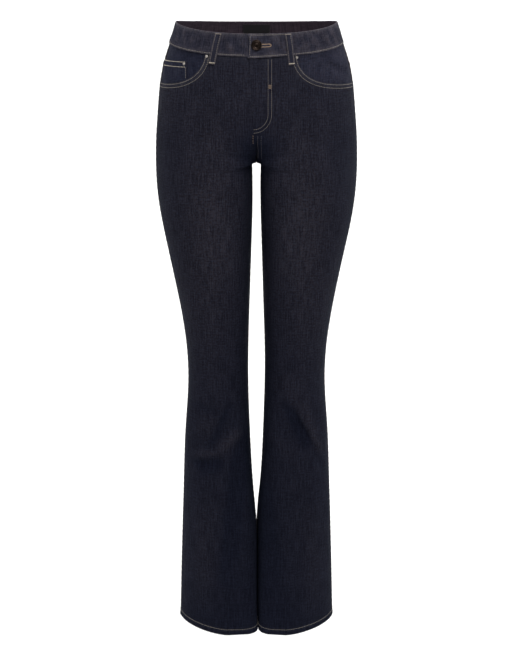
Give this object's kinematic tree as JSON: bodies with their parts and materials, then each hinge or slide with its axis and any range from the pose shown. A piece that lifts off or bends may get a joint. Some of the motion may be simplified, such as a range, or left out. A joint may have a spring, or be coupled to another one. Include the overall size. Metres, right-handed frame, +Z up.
{
  "type": "flared jeans",
  "caption": "Dark denim flared jeans with scooped front pockets, coin pocket, back patch pockets, fly, belt loops and waist button, filled out as worn with no wearer.",
  "frame": {"origin": "centre of the waist opening, level with the waistband's top edge at the sides", "axes": "+Z up along the body, -Y to the front, +X to the wearer's left"},
  "size_m": [0.3392, 0.2319, 1.058],
  "materials": {
    "denim": "dark indigo stretch twill, soft and matt",
    "denim_band": "dark indigo twill, folded double, slightly paler at its edges",
    "zip": "woven tape with a closed metal chain",
    "button": "dark antique bronze",
    "rivet": "bright domed metal",
    "label": "smooth black satin ribbon, plain"
  },
  "bodies": {
    "root": {"waistband": "denim_band", "front_right": "denim", "front_left": "denim", "back_right": "denim", "back_left": "denim", "yoke_right": "denim", "yoke_left": "denim", "pocket_facing_right": "denim", "pocket_facing_left": "denim", "coin_pocket": "denim", "back_pocket_right": "denim", "back_pocket_left": "denim", "loop_front_right": "denim_band", "loop_front_left": "denim_band", "loop_side_right": "denim_band", "loop_side_left": "denim_band", "loop_back": "denim_band", "fly_shield": "denim", "zip": "zip", "button": "button", "rivet_right": "rivet", "rivet_left": "rivet", "rivet_coin": "rivet", "label": "label"}
  },
  "joints": []
}
